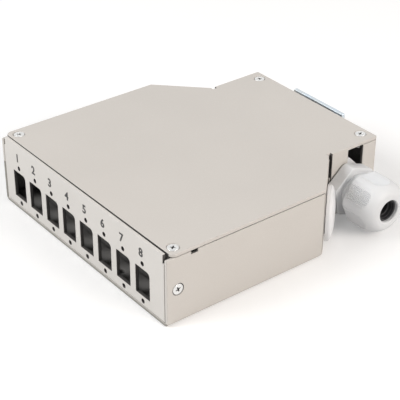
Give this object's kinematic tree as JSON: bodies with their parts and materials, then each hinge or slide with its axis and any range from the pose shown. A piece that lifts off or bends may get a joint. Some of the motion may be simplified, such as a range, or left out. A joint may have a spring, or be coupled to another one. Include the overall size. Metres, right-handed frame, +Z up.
{
  "type": "din rail fibre box",
  "caption": "Flat folded steel fibre distribution box with a row of adapter cut-outs, a cable gland on its narrowed rear and a clip for a mounting rail.",
  "frame": {"origin": "centre of the case's underside", "axes": "+X to the right along the row of cut-outs, +Y from the front panel to the rail clip, +Z up through the lid"},
  "size_m": [0.1293, 0.137, 0.033],
  "materials": {
    "powder_coat": "satin grey-beige powder coat",
    "panel_coat": "satin light grey powder coat",
    "bright_zinc": "bright zinc plate",
    "blue_zinc": "blue passivated zinc plate",
    "spring_steel": "bare spring wire",
    "grey_plastic": "satin moulded nylon",
    "white_plastic": "satin moulded plastic",
    "black_rubber": "matt rubber"
  },
  "bodies": {
    "case": {"cable_anchor": "white_plastic", "din_bracket": "blue_zinc", "din_spring": "spring_steel", "fibre_guide_left": "white_plastic", "fibre_guide_right": "white_plastic", "front_panel": "panel_coat", "gland_body": "grey_plastic", "gland_locknut": "grey_plastic", "gland_washer": "black_rubber", "housing": "powder_coat", "lid": "powder_coat", "lid_nut_front_left": "bright_zinc", "lid_nut_front_right": "bright_zinc", "lid_nut_rear_left": "bright_zinc", "lid_nut_rear_right": "bright_zinc", "lid_screw_front_left": "bright_zinc", "lid_screw_front_right": "bright_zinc", "lid_screw_rear_left": "bright_zinc", "lid_screw_rear_right": "bright_zinc", "plug_neck_left": "white_plastic", "plug_shoulder_left": "white_plastic", "plug_shoulder_right": "white_plastic", "rivet_1": "bright_zinc", "rivet_2": "bright_zinc", "rivet_3": "bright_zinc", "rivet_4": "bright_zinc", "side_nut_left": "bright_zinc", "side_nut_right": "bright_zinc", "side_screw_left": "bright_zinc", "side_screw_right": "bright_zinc", "splice_holder": "white_plastic"},
    "seal": {"gland_seal": "black_rubber"},
    "nut": {"gland_nut": "grey_plastic"},
    "latch": {"din_slider": "blue_zinc"}
  },
  "joints": [
    {"name": "gland_seal_slide", "type": "slide", "parent": "case", "child": "seal", "axis": [1, 0, 0], "range_m": [-0.0007, 0.0032]},
    {"name": "gland_nut_turn", "type": "hinge", "parent": "seal", "child": "nut", "pos_m": [0.0407, 0.0472, 0.0141], "axis": [1, 0, 0], "range_deg": [-180, 820]},
    {"name": "latch_slide", "type": "slide", "parent": "case", "child": "latch", "axis": [1, 0, 0], "range_m": [0, 0.004], "stiffness_N_per_m": 800, "springref_m": -0.005, "deforming": ["din_spring"]}
  ],
  "couplings": [
    {"joint": "gland_nut_turn", "follows": "gland_seal_slide", "rad_per_m": 4453}
  ]
}
